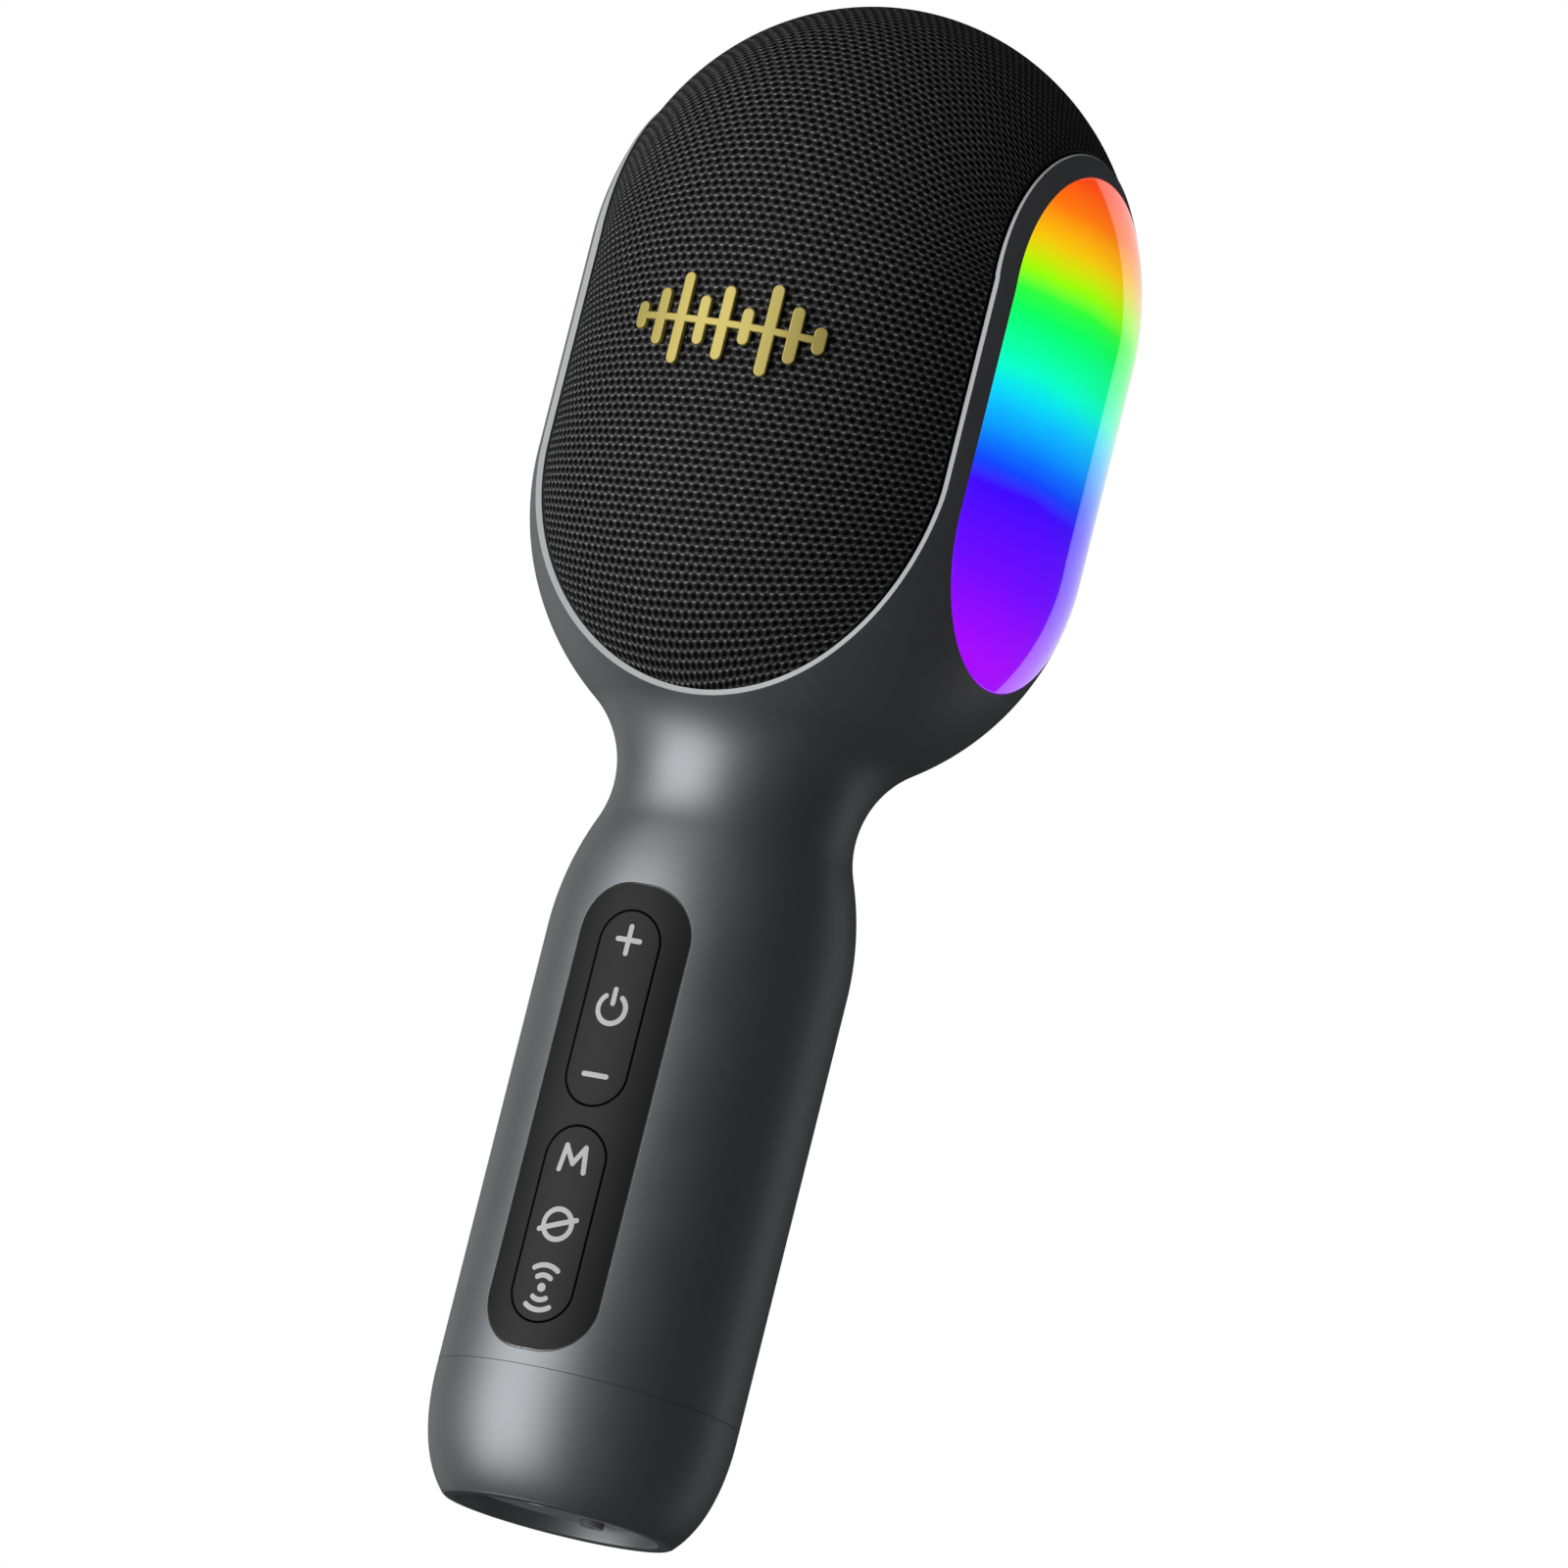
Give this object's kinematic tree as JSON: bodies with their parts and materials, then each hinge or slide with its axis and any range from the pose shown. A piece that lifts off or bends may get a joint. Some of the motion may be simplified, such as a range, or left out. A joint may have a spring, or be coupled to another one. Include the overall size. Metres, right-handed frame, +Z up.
{
  "type": "karaoke microphone",
  "caption": "Cordless karaoke microphone with a domed fabric speaker head, side light windows, waisted neck and a straight handle with rocking keys.",
  "frame": {"origin": "centre of the bottom rim, in the plane that the microphone stands on", "axes": "+Z up along the microphone's axis to the top of the dome, -Y towards the front with the keys and the badge, side lights on +X and -X"},
  "size_m": [0.0872, 0.0858, 0.2444],
  "materials": {
    "paint": "satin metallic gunmetal grey paint",
    "port_plastic": "fine matt moulded plastic",
    "key_plastic": "matt black soft-touch plastic",
    "black_plastic": "moulded, lightly textured",
    "silver_trim": "satin silver",
    "gold_badge": "satin gold",
    "grille_cloth": "black woven acoustic cloth",
    "light_lens": "glossy translucent, lit from behind in rainbow colours",
    "diffuser": "milky diffusing plastic",
    "steel": "plated",
    "magnet": "sintered ferrite",
    "copper": "enamelled copper wire",
    "board": "solder mask",
    "cell_wrap": "shrink wrap",
    "cone_paper": "coated paper",
    "rubber": "matt",
    "foam": "open-cell foam"
  },
  "bodies": {
    "housing": {"main_housing": "paint", "bottom_cap": "paint", "port_plate": "port_plastic", "usb_c_socket": "steel", "audio_jack": "black_plastic", "port_board": "board", "port_screw_front": "steel", "port_screw_back": "steel", "key_panel": "key_plastic", "upper_switch_1": "black_plastic", "upper_switch_2": "black_plastic", "upper_switch_3": "black_plastic", "lower_switch_1": "black_plastic", "lower_switch_2": "black_plastic", "lower_switch_3": "black_plastic", "main_board": "board", "wireless_module": "steel", "battery_cell": "cell_wrap", "battery_cradle": "black_plastic", "battery_contact_lower": "steel", "battery_contact_upper": "steel", "light_lens_left": "light_lens", "light_lens_right": "light_lens", "light_diffuser_left": "diffuser", "light_diffuser_right": "diffuser", "led_board_left": "board", "led_board_right": "board", "grille_fabric": "grille_cloth", "grille_trim": "silver_trim", "grille_frame": "black_plastic", "wave_badge": "gold_badge", "speaker_enclosure": "black_plastic", "speaker_basket": "steel", "speaker_magnet": "magnet", "speaker_yoke": "steel", "radiator_frame": "steel", "speaker_screw_1": "steel", "speaker_screw_2": "steel", "speaker_screw_3": "steel", "speaker_screw_4": "steel", "radiator_screw_1": "steel", "radiator_screw_2": "steel", "radiator_screw_3": "steel", "radiator_screw_4": "steel", "capsule_bracket": "black_plastic", "capsule_cradle": "rubber", "microphone_capsule": "steel", "windscreen_foam": "foam", "head_chassis": "black_plastic", "speaker_lead": "rubber"},
    "upper_carrier": {"upper_key_carrier": "steel"},
    "upper_key": {"upper_key": "key_plastic"},
    "lower_carrier": {"lower_key_carrier": "steel"},
    "lower_key": {"lower_key": "key_plastic"},
    "cone": {"speaker_cone": "cone_paper", "dust_cap": "cone_paper", "voice_coil": "copper", "speaker_surround": "rubber"},
    "radiator": {"radiator_plate": "cone_paper", "radiator_surround": "rubber"}
  },
  "joints": [
    {"name": "upper_key_press", "type": "slide", "parent": "housing", "child": "upper_carrier", "axis": [0, 1, 0], "range_m": [0, 0.00035], "stiffness_N_per_m": 1500},
    {"name": "upper_key_rock", "type": "hinge", "parent": "upper_carrier", "child": "upper_key", "pos_m": [0, -0.0204, 0.0772], "axis": [1, 0, 0], "range_deg": [-0.9, 0.9], "stiffness_Nm_per_rad": 0.6},
    {"name": "lower_key_press", "type": "slide", "parent": "housing", "child": "lower_carrier", "axis": [0, 1, 0], "range_m": [0, 0.00035], "stiffness_N_per_m": 1500},
    {"name": "lower_key_rock", "type": "hinge", "parent": "lower_carrier", "child": "lower_key", "pos_m": [0, -0.0204, 0.0423], "axis": [1, 0, 0], "range_deg": [-0.9, 0.9], "stiffness_Nm_per_rad": 0.6},
    {"name": "speaker_cone_travel", "type": "slide", "parent": "housing", "child": "cone", "axis": [0, -1, 0], "range_m": [-0.0012, 0.0012], "stiffness_N_per_m": 2000},
    {"name": "radiator_travel", "type": "slide", "parent": "housing", "child": "radiator", "axis": [0, 1, 0], "range_m": [-0.0015, 0.0015], "stiffness_N_per_m": 1000}
  ]
}
